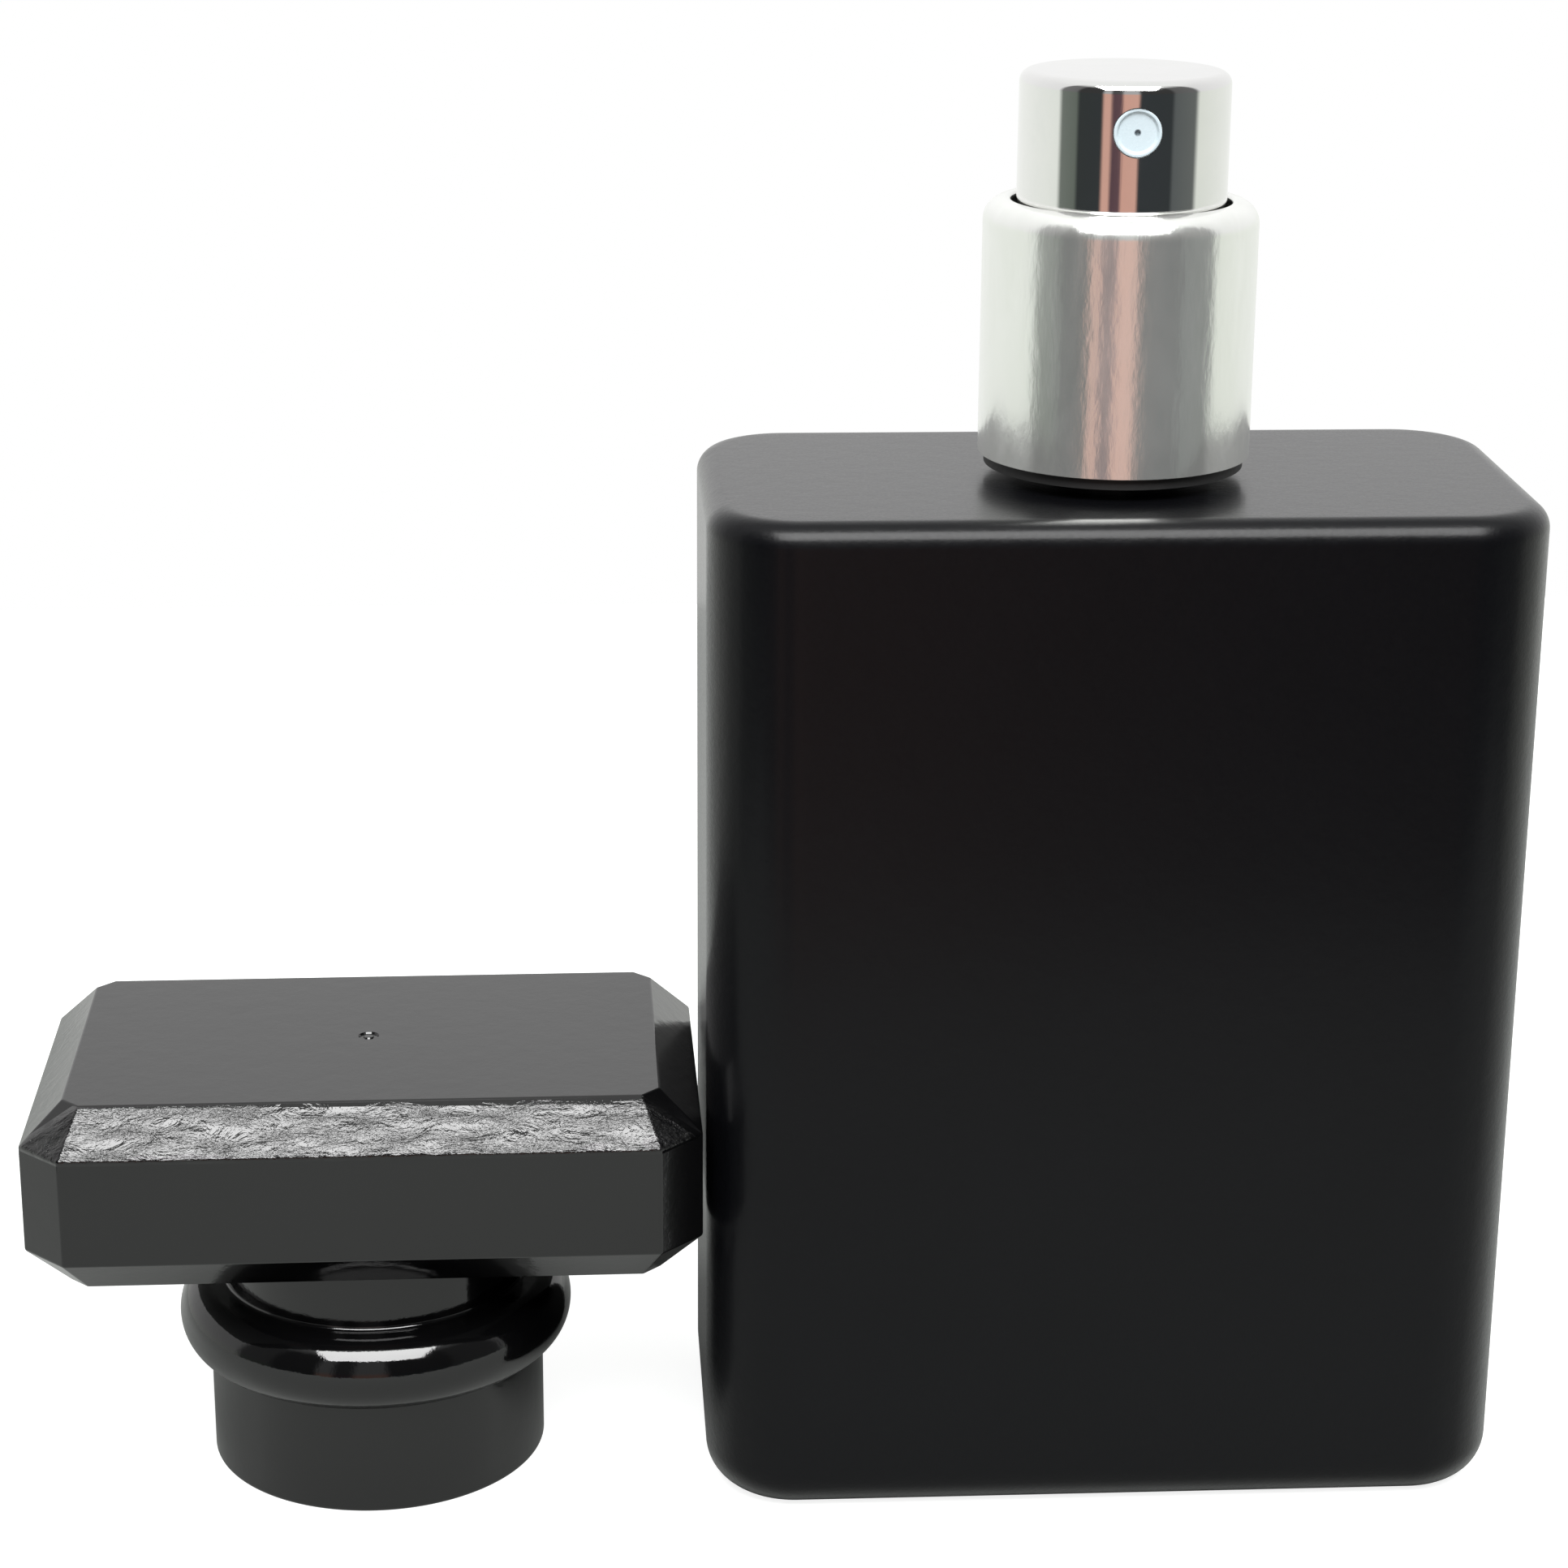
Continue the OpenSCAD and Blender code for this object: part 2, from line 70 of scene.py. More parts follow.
# The glass bottle. A moulded flacon with a heavy base, a hollowed foot and a 15 mm crimp neck,
# sprayed outside with a black satin lacquer that is baked on.
MM = 0.001
glass_low, glass_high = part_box("glass_bottle")
glass_wide = glass_high.x - glass_low.x
glass_deep = glass_high.y - glass_low.y
shoulder_height = 68.2 * MM
glass_wall = 3.0 * MM
glass_base = 7.0 * MM
upright_corner = 6.0 * MM
upper_edge = 1.6 * MM
lower_edge = 3.0 * MM
hollow_corner = 4.0 * MM
hollow_edge = 1.6 * MM
foot_inset = 5.6 * MM
foot_depth = 0.5 * MM
neck_top = glass_high.z
neck_radius = 6.4 * MM
neck_bore_radius = 4.7 * MM
bead_radius = 7.5 * MM
bead_height = 3.8 * MM
bead_edge = 0.6 * MM
rim_edge = 0.3 * MM


def new_piece(name, points, faces):
    """A mesh object at the origin, from its points and faces."""
    mesh = bpy.data.meshes.new(name)
    mesh.from_pydata(points, [], faces)
    piece = bpy.data.objects.new(name, mesh)
    bpy.context.scene.collection.objects.link(piece)
    return piece


def face_outwards(piece):
    """Merges doubled points and turns every face of a closed shell outwards."""
    shell = bmesh.new()
    shell.from_mesh(piece.data)
    bmesh.ops.remove_doubles(shell, verts=shell.verts, dist=1e-7)
    bmesh.ops.recalc_face_normals(shell, faces=shell.faces)
    shell.to_mesh(piece.data)
    shell.free()
    return piece


def level_outline(wide, deep, corner, height):
    """One level outline of the bottle block, with round corners: its points in order."""
    ease = 0.5 * MM
    points = []
    for turn, (side_x, side_y) in enumerate(((1, 1), (-1, 1), (-1, -1), (1, -1))):
        middle_x = side_x * (wide / 2 - corner)
        middle_y = side_y * (deep / 2 - corner)
        angles = [math.radians(90 * turn + 90 * step / 24) for step in range(25)]
        arc = [(middle_x + corner * math.cos(a), middle_y + corner * math.sin(a)) for a in angles]
        first_x, first_y = arc[0]
        last_x, last_y = arc[-1]
        before = (first_x + ease * math.sin(angles[0]), first_y - ease * math.cos(angles[0]))
        after = (last_x - ease * math.sin(angles[-1]), last_y + ease * math.cos(angles[-1]))
        points += [(x, y, height) for x, y in [before] + arc + [after]]
    return points


def bottle_block(name, wide, deep, low, high, corner, upper, lower):
    """A block with round upright corners, and its upper and lower edges rounded smaller."""
    ease = 0.5 * MM
    levels = [(low, lower + ease)]
    for step in range(15):
        angle = math.radians(90 * step / 14)
        levels.append((low + lower - lower * math.cos(angle), lower - lower * math.sin(angle)))
    levels.append((low + lower + ease, 0.0))
    levels.append((high - upper - ease, 0.0))
    for step in range(15):
        angle = math.radians(90 * step / 14)
        levels.append((high - upper + upper * math.sin(angle), upper - upper * math.cos(angle)))
    levels.append((high, upper + ease))
    points = []
    for height, inset in levels:
        points += level_outline(wide - 2 * inset, deep - 2 * inset, corner - inset, height)
    count = len(points) // len(levels)
    faces = []
    for row in range(len(levels) - 1):
        for i in range(count):
            j = (i + 1) % count
            faces.append((row * count + i, row * count + j, (row + 1) * count + j, (row + 1) * count + i))
    faces.append(tuple(range(count)))
    faces.append(tuple(range(len(points) - count, len(points))))
    return face_outwards(new_piece(name, points, faces))


def turned(name, outline, steps=192):
    """A part turned about the Z axis from (radius, height) points that go once round its section."""
    points = []
    rings = []
    for radius, height in outline:
        if radius < 1e-9:
            rings.append([len(points)])
            points.append((0.0, 0.0, height))
            continue
        rings.append(list(range(len(points), len(points) + steps)))
        for step in range(steps):
            angle = 2 * math.pi * step / steps
            points.append((radius * math.cos(angle), radius * math.sin(angle), height))
    faces = []
    for i, ring in enumerate(rings):
        after = rings[(i + 1) % len(rings)]
        if len(ring) == 1 and len(after) == 1:
            continue
        for step in range(steps):
            on = (step + 1) % steps
            corners = [ring[step % len(ring)], ring[on % len(ring)]]
            corners += [after[on % len(after)], after[step % len(after)]]
            faces.append(tuple(dict.fromkeys(corners)))
    return face_outwards(new_piece(name, points, faces))


def rounding(centre, radius, start, finish, steps=12):
    """Points along an arc of a section, from one angle to another in degrees."""
    points = []
    for step in range(steps + 1):
        angle = math.radians(start + (finish - start) * step / steps)
        points.append((centre[0] + radius * math.cos(angle), centre[1] + radius * math.sin(angle)))
    return points


def settle(piece):
    """Turns a piece's modifiers into plain mesh."""
    graph = bpy.context.evaluated_depsgraph_get()
    plain = bpy.data.meshes.new_from_object(piece.evaluated_get(graph))
    piece.modifiers.clear()
    piece.data = plain
    return piece


def work_with(piece, tool, operation):
    """Joins a tool to a piece, or cuts it away, and discards the tool."""
    modifier = piece.modifiers.new("work", "BOOLEAN")
    modifier.operation = operation
    modifier.solver = "EXACT"
    modifier.object = tool
    settle(piece)
    bpy.data.objects.remove(tool)
    return piece


def smooth_off(piece, sharpest=32.0):
    """Shades a piece smooth up to an angle, with its flat faces kept flat."""
    piece.data.shade_smooth()
    piece.data.set_sharp_from_angle(angle=math.radians(sharpest))
    modifier = piece.modifiers.new("even", "WEIGHTED_NORMAL")
    modifier.keep_sharp = True
    modifier.weight = 100
    return settle(piece)


def new_effect(name, inputs, outputs):
    """An empty shader node group with named inputs, their values, and named outputs."""
    group = bpy.data.node_groups.new(name, "ShaderNodeTree")
    for label, kind, value in inputs:
        socket = group.interface.new_socket(label, in_out="INPUT", socket_type=kind)
        if value is not None:
            socket.default_value = value
    for label, kind in outputs:
        group.interface.new_socket(label, in_out="OUTPUT", socket_type=kind)
    start = group.nodes.new("NodeGroupInput")
    finish = group.nodes.new("NodeGroupOutput")
    return group, start, finish


def add_node(tree, kind, **settings):
    """Adds a node to a tree and sets it up."""
    node = tree.nodes.new(kind)
    for label, value in settings.items():
        setattr(node, label, value)
    return node


def noise_at(tree, vector, size, detail=2.0, rough=0.5, distort=0.0):
    """A noise texture whose features are about size metres across."""
    noise = add_node(tree, "ShaderNodeTexNoise")
    noise.inputs["Scale"].default_value = 1.0 / size
    noise.inputs["Detail"].default_value = detail
    noise.inputs["Roughness"].default_value = rough
    noise.inputs["Distortion"].default_value = distort
    tree.links.new(vector, noise.inputs["Vector"])
    return noise.outputs["Fac"]


def stretch(tree, value, low, high, to_low, to_high):
    """Maps a value from one span to another and holds it there."""
    spread = add_node(tree, "ShaderNodeMapRange")
    spread.inputs["From Min"].default_value = low
    spread.inputs["From Max"].default_value = high
    spread.inputs["To Min"].default_value = to_low
    spread.inputs["To Max"].default_value = to_high
    tree.links.new(value, spread.inputs["Value"])
    return spread.outputs["Result"]


def work_out(tree, operation, first, second):
    """One sum on two values, each a socket or a number."""
    sum_node = add_node(tree, "ShaderNodeMath", operation=operation)
    for socket, value in zip(sum_node.inputs, (first, second)):
        if isinstance(value, (int, float)):
            socket.default_value = value
        else:
            tree.links.new(value, socket)
    return sum_node.outputs["Value"]


grain_group, grain_in, grain_out = new_effect(
    "Fine Grain",
    [("Vector", "NodeSocketVector", None), ("Size", "NodeSocketFloat", 0.0002)],
    [("Height", "NodeSocketFloat"), ("Cloud", "NodeSocketFloat")])
grain_scale = work_out(grain_group, "DIVIDE", 1.0, grain_in.outputs["Size"])
grain_noise = add_node(grain_group, "ShaderNodeTexNoise")
grain_noise.inputs["Detail"].default_value = 3.0
grain_noise.inputs["Roughness"].default_value = 0.7
grain_group.links.new(grain_in.outputs["Vector"], grain_noise.inputs["Vector"])
grain_group.links.new(grain_scale, grain_noise.inputs["Scale"])
grain_group.links.new(grain_noise.outputs["Fac"], grain_out.inputs["Height"])
grain_cloud = noise_at(grain_group, grain_in.outputs["Vector"], 0.012, 4.0, 0.6)
grain_group.links.new(grain_cloud, grain_out.inputs["Cloud"])

marks_group, marks_in, marks_out = new_effect(
    "Handling Marks",
    [("Vector", "NodeSocketVector", None), ("Dust", "NodeSocketFloat", 0.1)],
    [("Smudge", "NodeSocketFloat"), ("Dust", "NodeSocketFloat")])
smudge_noise = noise_at(marks_group, marks_in.outputs["Vector"], 0.009, 4.0, 0.6, 0.8)
marks_group.links.new(stretch(marks_group, smudge_noise, 0.42, 0.68, 0.0, 1.0), marks_out.inputs["Smudge"])
dust_cells = add_node(marks_group, "ShaderNodeTexVoronoi")
dust_cells.inputs["Scale"].default_value = 1.0 / (2.6 * MM)
marks_group.links.new(marks_in.outputs["Vector"], dust_cells.inputs["Vector"])
dust_pick = add_node(marks_group, "ShaderNodeSeparateColor")
marks_group.links.new(dust_cells.outputs["Color"], dust_pick.inputs["Color"])
dust_speck = stretch(marks_group, dust_cells.outputs["Distance"], 0.018, 0.045, 1.0, 0.0)
dust_chosen = work_out(marks_group, "LESS_THAN", dust_pick.outputs["Red"], marks_in.outputs["Dust"])
dust_mask = work_out(marks_group, "MULTIPLY", dust_speck, dust_chosen)
marks_group.links.new(dust_mask, marks_out.inputs["Dust"])


def new_finish(name, metallic=0.0):
    """A material with its shader and its place on the piece: (material, tree, shader, vector)."""
    finish = bpy.data.materials.new(name)
    finish.use_nodes = True
    tree = finish.node_tree
    shader = tree.nodes["Principled BSDF"]
    shader.inputs["Metallic"].default_value = metallic
    place = add_node(tree, "ShaderNodeTexCoord")
    return finish, tree, shader, place.outputs["Object"]


def use_effect(tree, group, vector, **values):
    """Places a shared effect in a material, with this material's own values."""
    effect = add_node(tree, "ShaderNodeGroup", node_tree=group)
    tree.links.new(vector, effect.inputs["Vector"])
    for label, value in values.items():
        effect.inputs[label].default_value = value
    return effect


def between(tree, factor, first, second):
    """A colour between two colours, by a factor."""
    blend = add_node(tree, "ShaderNodeMix", data_type="RGBA")
    tree.links.new(factor, blend.inputs["Factor"])
    for socket, value in ((blend.inputs["A"], first), (blend.inputs["B"], second)):
        if isinstance(value, tuple):
            socket.default_value = (*value, 1.0)
        else:
            tree.links.new(value, socket)
    return blend.outputs["Result"]


def raise_surface(tree, shader, height, depth, strength=1.0, before=None):
    """Lets a height move the surface by up to depth metres."""
    bump = add_node(tree, "ShaderNodeBump")
    bump.inputs["Distance"].default_value = depth
    bump.inputs["Strength"].default_value = strength
    tree.links.new(height, bump.inputs["Height"])
    if before is not None:
        tree.links.new(before, bump.inputs["Normal"])
    tree.links.new(bump.outputs["Normal"], shader.inputs["Normal"])
    return bump.outputs["Normal"]


lacquer, lacquer_tree, lacquer_shader, lacquer_place = new_finish("black satin lacquer")
lacquer_grain = use_effect(lacquer_tree, grain_group, lacquer_place, Size=0.00022)
lacquer_marks = use_effect(lacquer_tree, marks_group, lacquer_place, Dust=0.012)
lacquer_black = between(lacquer_tree, lacquer_grain.outputs["Cloud"],
                        (0.0012, 0.0013, 0.0018), (0.0020, 0.0021, 0.0028))
lacquer_colour = between(lacquer_tree, lacquer_marks.outputs["Dust"], lacquer_black, (0.11, 0.11, 0.12))
lacquer_tree.links.new(lacquer_colour, lacquer_shader.inputs["Base Color"])
lacquer_rough = stretch(lacquer_tree, lacquer_grain.outputs["Height"], 0.3, 0.7, 0.33, 0.42)
lacquer_tree.links.new(lacquer_rough, lacquer_shader.inputs["Roughness"])
lacquer_shader.inputs["Specular IOR Level"].default_value = 0.12
lacquer_facing = add_node(lacquer_tree, "ShaderNodeLayerWeight").outputs["Facing"]
lacquer_coat = stretch(lacquer_tree, lacquer_facing, 0.34, 0.68, 0.12, 0.56)
lacquer_tree.links.new(lacquer_coat, lacquer_shader.inputs["Coat Weight"])
lacquer_shader.inputs["Coat Roughness"].default_value = 0.2
lacquer_shader.inputs["Coat IOR"].default_value = 1.6
lacquer_orange = noise_at(lacquer_tree, lacquer_place, 0.0013, 3.0, 0.6)
lacquer_ripple = raise_surface(lacquer_tree, lacquer_shader, lacquer_orange, 0.00006, 0.7)
raise_surface(lacquer_tree, lacquer_shader, lacquer_grain.outputs["Height"], 0.000016, 0.7, lacquer_ripple)

flacon = bottle_block("flacon", glass_wide, glass_deep, 0.0, shoulder_height,
                      upright_corner, upper_edge, lower_edge)
bead_low = neck_top - bead_height
neck_root = shoulder_height - 1.5 * MM
bead_in = bead_radius - bead_edge
neck_outline = [(0.0, neck_root), (neck_radius, neck_root), (neck_radius, bead_low), (bead_in, bead_low)]
neck_outline += rounding((bead_in, bead_low + bead_edge), bead_edge, -90, 0, 6)
neck_outline += rounding((bead_radius - rim_edge, neck_top - rim_edge), rim_edge, 0, 90, 6)
neck_outline += [(0.0, neck_top)]
work_with(flacon, turned("neck", neck_outline), "UNION")
hollow = bottle_block("hollow", glass_wide - 2 * glass_wall, glass_deep - 2 * glass_wall, glass_base,
                      shoulder_height - glass_wall, hollow_corner, hollow_edge, hollow_edge)
bore_low = shoulder_height - glass_wall - MM
bore_outline = [(0.0, bore_low), (neck_bore_radius, bore_low)]
bore_outline += [(neck_bore_radius, neck_top + MM), (0.0, neck_top + MM)]
work_with(hollow, turned("neck_bore", bore_outline), "UNION")
work_with(flacon, hollow, "DIFFERENCE")
foot_wide = glass_wide - 2 * foot_inset
foot_deep = glass_deep - 2 * foot_inset
foot_solid = level_outline(foot_wide, foot_deep, upright_corner - lower_edge, -MM)
foot_count = len(foot_solid)
foot_solid += level_outline(foot_wide, foot_deep, upright_corner - lower_edge, foot_depth)
foot_faces = [tuple(range(foot_count)), tuple(range(foot_count, 2 * foot_count))]
for i in range(foot_count):
    on = (i + 1) % foot_count
    foot_faces.append((i, on, foot_count + on, foot_count + i))
foot_hollow = face_outwards(new_piece("foot_hollow", foot_solid, foot_faces))
work_with(flacon, foot_hollow, "DIFFERENCE")
smooth_off(flacon)
flacon.data.materials.clear()
flacon.data.materials.append(lacquer)
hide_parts("glass_bottle")
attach(flacon, "bottle")


# The neck gasket and the crimp ferrule. A soft washer seals the pump on the glass, and a plain
# aluminium ring is rolled in under the bead to hold them both.
elastomer, elastomer_tree, elastomer_shader, elastomer_place = new_finish("grey elastomer")
elastomer_grain = use_effect(elastomer_tree, grain_group, elastomer_place, Size=0.0003)
elastomer_colour = between(elastomer_tree, elastomer_grain.outputs["Cloud"],
                           (0.16, 0.16, 0.165), (0.23, 0.23, 0.23))
elastomer_tree.links.new(elastomer_colour, elastomer_shader.inputs["Base Color"])
elastomer_rough = stretch(elastomer_tree, elastomer_grain.outputs["Height"], 0.3, 0.7, 0.62, 0.78)
elastomer_tree.links.new(elastomer_rough, elastomer_shader.inputs["Roughness"])
raise_surface(elastomer_tree, elastomer_shader, elastomer_grain.outputs["Height"], 0.00002, 0.5)

ferrule_metal, ferrule_tree, ferrule_shader, ferrule_place = new_finish("plain rolled aluminium", 1.0)
ferrule_stretch = add_node(ferrule_tree, "ShaderNodeMapping")
ferrule_stretch.inputs["Scale"].default_value = (1.0, 1.0, 9.0)
ferrule_tree.links.new(ferrule_place, ferrule_stretch.inputs["Vector"])
ferrule_lines = noise_at(ferrule_tree, ferrule_stretch.outputs["Vector"], 0.0012, 5.0, 0.7)
ferrule_colour = between(ferrule_tree, ferrule_lines, (0.62, 0.63, 0.63), (0.76, 0.77, 0.77))
ferrule_tree.links.new(ferrule_colour, ferrule_shader.inputs["Base Color"])
ferrule_rough = stretch(ferrule_tree, ferrule_lines, 0.3, 0.7, 0.24, 0.42)
ferrule_tree.links.new(ferrule_rough, ferrule_shader.inputs["Roughness"])
raise_surface(ferrule_tree, ferrule_shader, ferrule_lines, 0.00002, 0.4)


def repaint(node, finish):
    """Gives a CAD node a finished material in place of its plain colour."""
    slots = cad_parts[node].data.materials
    slots.clear()
    slots.append(finish)


repaint("neck_gasket", elastomer)
repaint("stem_gasket", elastomer)
repaint("crimp_ferrule", ferrule_metal)


# The pump. Moulded natural plastic parts hang from the neck: the housing with its turret, the
# stem with its piston and blue poppet, a steel ball on the inlet seat, and the cut dip tube.
def moulded(name, thin, thick, low_rough, high_rough):
    """A moulded natural plastic, cloudy between two tints, with a faint mould texture."""
    finish, tree, shader, place = new_finish(name)
    grain = use_effect(tree, grain_group, place, Size=0.00045)
    tree.links.new(between(tree, grain.outputs["Cloud"], thin, thick), shader.inputs["Base Color"])
    roughness = stretch(tree, grain.outputs["Height"], 0.3, 0.7, low_rough, high_rough)
    tree.links.new(roughness, shader.inputs["Roughness"])
    raise_surface(tree, shader, grain.outputs["Height"], 0.00001, 0.4)
    return finish


milky_plastic = moulded("milky polyethylene", (0.70, 0.71, 0.67), (0.82, 0.83, 0.79), 0.34, 0.46)
white_plastic = moulded("white acetal", (0.80, 0.80, 0.78), (0.87, 0.87, 0.85), 0.22, 0.32)
piston_plastic = moulded("pale blue piston plastic", (0.52, 0.60, 0.68), (0.60, 0.68, 0.75), 0.30, 0.42)
poppet_plastic = moulded("blue poppet plastic", (0.06, 0.20, 0.48), (0.09, 0.27, 0.58), 0.28, 0.38)
tube_plastic = moulded("clear dip tube plastic", (0.62, 0.66, 0.66), (0.72, 0.76, 0.76), 0.12, 0.22)
repaint("pump_housing", milky_plastic)
repaint("pump_turret", white_plastic)
repaint("pump_stem", white_plastic)
repaint("pump_piston", piston_plastic)
repaint("outlet_poppet", poppet_plastic)
repaint("dip_tube", tube_plastic)

ball_steel, ball_tree, ball_shader, ball_place = new_finish("ground steel ball", 1.0)
ball_marks = use_effect(ball_tree, marks_group, ball_place, Dust=0.0)
ball_colour = between(ball_tree, ball_marks.outputs["Smudge"], (0.55, 0.55, 0.56), (0.63, 0.63, 0.64))
ball_tree.links.new(ball_colour, ball_shader.inputs["Base Color"])
ball_rough = stretch(ball_tree, ball_marks.outputs["Smudge"], 0.0, 1.0, 0.06, 0.14)
ball_tree.links.new(ball_rough, ball_shader.inputs["Roughness"])
repaint("inlet_ball", ball_steel)


# The two springs. Each is a drawn stainless wire wound cold, with its last turn closed at both
# ends: the long one returns the pump, and the tiny one in the stem holds the poppet shut.
spring_steel, steel_tree, steel_shader, steel_place = new_finish("drawn spring steel", 1.0)
steel_lines = noise_at(steel_tree, steel_place, 0.0002, 4.0, 0.65)
steel_colour = between(steel_tree, steel_lines, (0.42, 0.42, 0.44), (0.60, 0.60, 0.62))
steel_tree.links.new(steel_colour, steel_shader.inputs["Base Color"])
steel_tree.links.new(stretch(steel_tree, steel_lines, 0.3, 0.7, 0.20, 0.34), steel_shader.inputs["Roughness"])

winding = bpy.data.node_groups.new("Wound Spring", "GeometryNodeTree")
winding.is_modifier = True
winding.interface.new_socket("Geometry", in_out="OUTPUT", socket_type="NodeSocketGeometry")
winding_inputs = {}
winding_labels = {"Geometry": "NodeSocketGeometry", "Wire Finish": "NodeSocketMaterial"}
for label in ("Coil Radius", "Wire Radius", "Turns", "Low End", "High End"):
    winding_labels[label] = "NodeSocketFloat"
for label, kind in winding_labels.items():
    winding_inputs[label] = winding.interface.new_socket(label, in_out="INPUT", socket_type=kind)
closed_rise_in_radii = 2.05
winding_in = winding.nodes.new("NodeGroupInput")
winding_out = winding.nodes.new("NodeGroupOutput")
helix = add_node(winding, "GeometryNodeCurveSpiral")
helix.inputs["Resolution"].default_value = 40
helix.inputs["Height"].default_value = 0.0
winding.links.new(winding_in.outputs["Turns"], helix.inputs["Rotations"])
winding.links.new(winding_in.outputs["Coil Radius"], helix.inputs["Start Radius"])
winding.links.new(winding_in.outputs["Coil Radius"], helix.inputs["End Radius"])
along = add_node(winding, "GeometryNodeSplineParameter").outputs["Factor"]
where = add_node(winding, "GeometryNodeInputPosition").outputs["Position"]
apart = add_node(winding, "ShaderNodeSeparateXYZ")
winding.links.new(where, apart.inputs["Vector"])
wire_across = work_out(winding, "MULTIPLY", winding_in.outputs["Wire Radius"], closed_rise_in_radii)
end_turn = work_out(winding, "DIVIDE", 1.0, winding_in.outputs["Turns"])
first_turn = work_out(winding, "MINIMUM", work_out(winding, "DIVIDE", along, end_turn), 1.0)
last_turn = work_out(winding, "SUBTRACT", work_out(winding, "ADD", along, end_turn), 1.0)
last_turn = work_out(winding, "DIVIDE", last_turn, end_turn)
last_turn = work_out(winding, "MAXIMUM", last_turn, 0.0)
open_share = work_out(winding, "SUBTRACT", 1.0, work_out(winding, "MULTIPLY", end_turn, 2.0))
open_turns = work_out(winding, "DIVIDE", work_out(winding, "SUBTRACT", along, end_turn), open_share)
open_turns = work_out(winding, "MINIMUM", work_out(winding, "MAXIMUM", open_turns, 0.0), 1.0)
free_rise = work_out(winding, "SUBTRACT", winding_in.outputs["High End"], winding_in.outputs["Low End"])
closed_ends = work_out(winding, "MULTIPLY", winding_in.outputs["Wire Radius"], 2 * closed_rise_in_radii + 2)
free_rise = work_out(winding, "SUBTRACT", free_rise, closed_ends)
closed_rise = work_out(winding, "MULTIPLY", work_out(winding, "ADD", first_turn, last_turn), wire_across)
height_here = work_out(winding, "ADD", work_out(winding, "MULTIPLY", open_turns, free_rise), closed_rise)
height_here = work_out(winding, "ADD", height_here, winding_in.outputs["Low End"])
height_here = work_out(winding, "ADD", height_here, winding_in.outputs["Wire Radius"])
raised = add_node(winding, "ShaderNodeCombineXYZ")
winding.links.new(apart.outputs["X"], raised.inputs["X"])
winding.links.new(apart.outputs["Y"], raised.inputs["Y"])
winding.links.new(height_here, raised.inputs["Z"])
shift = add_node(winding, "GeometryNodeSetPosition")
winding.links.new(helix.outputs["Curve"], shift.inputs["Geometry"])
winding.links.new(raised.outputs["Vector"], shift.inputs["Position"])
wire_section = add_node(winding, "GeometryNodeCurvePrimitiveCircle")
wire_section.inputs["Resolution"].default_value = 14
winding.links.new(winding_in.outputs["Wire Radius"], wire_section.inputs["Radius"])
drawn = add_node(winding, "GeometryNodeCurveToMesh")
drawn.inputs["Fill Caps"].default_value = True
winding.links.new(shift.outputs["Geometry"], drawn.inputs["Curve"])
winding.links.new(wire_section.outputs["Curve"], drawn.inputs["Profile Curve"])
made_real = add_node(winding, "GeometryNodeRealizeInstances")
winding.links.new(drawn.outputs["Mesh"], made_real.inputs["Geometry"])
wire_finish = add_node(winding, "GeometryNodeSetMaterial")
winding.links.new(made_real.outputs["Geometry"], wire_finish.inputs["Geometry"])
winding.links.new(winding_in.outputs["Wire Finish"], wire_finish.inputs["Material"])
winding.links.new(wire_finish.outputs["Geometry"], winding_out.inputs["Geometry"])


def wind_spring(name, node, wire_radius, turns):
    """Winds a spring to the outside and the two ends of its CAD node."""
    low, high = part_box(node)
    coil_radius = (high.x - low.x) / 2 - wire_radius
    spring = new_piece(name, [], [])
    modifier = spring.modifiers.new("winding", "NODES")
    modifier.node_group = winding
    values = (("Coil Radius", coil_radius), ("Wire Radius", wire_radius), ("Turns", turns),
              ("Low End", low.z), ("High End", high.z), ("Wire Finish", spring_steel))
    for label, value in values:
        modifier[winding_inputs[label].identifier] = value
    settle(spring)
    face_outwards(spring)
    spring.data.shade_smooth()
    spring.data.set_sharp_from_angle(angle=math.radians(50))
    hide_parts(node)
    return spring


return_spring = wind_spring("return_spring", "main_spring", 0.22 * MM, 8.0)
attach(return_spring, "bottle")
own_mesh(return_spring)
valve_spring = wind_spring("valve_spring", "poppet_spring", 0.1 * MM, 6.0)
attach(valve_spring, "stem")
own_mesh(valve_spring)


# The collar. A black plastic sleeve is pushed over the crimp and shows as a dark ring below. A thin
# aluminium cover, drawn, polished and clear anodised, is pressed over it, its top rolled to a lip.
collar_low, collar_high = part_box("collar_shell")
collar_radius = collar_high.x
collar_lip = 7.25 * MM
collar_wall = 0.4 * MM
collar_edge = 1.4 * MM
collar_chamfer = 0.05 * MM
black_plastic = moulded("plain black plastic", (0.011, 0.011, 0.011), (0.018, 0.018, 0.018), 0.42, 0.55)
repaint("collar_insert", black_plastic)

waves_group, waves_in, waves_out = new_effect(
    "Polishing Waves",
    [("Vector", "NodeSocketVector", None), ("Size", "NodeSocketFloat", 0.002)],
    [("Height", "NodeSocketFloat"), ("Mottle", "NodeSocketFloat")])
waves_scale = work_out(waves_group, "DIVIDE", 1.0, waves_in.outputs["Size"])
waves_broad = add_node(waves_group, "ShaderNodeTexNoise")
waves_broad.inputs["Detail"].default_value = 5.0
waves_broad.inputs["Roughness"].default_value = 0.55
waves_group.links.new(waves_in.outputs["Vector"], waves_broad.inputs["Vector"])
waves_group.links.new(waves_scale, waves_broad.inputs["Scale"])
waves_group.links.new(waves_broad.outputs["Fac"], waves_out.inputs["Height"])
waves_mottle = noise_at(waves_group, waves_in.outputs["Vector"], 0.0035, 5.0, 0.65, 0.6)
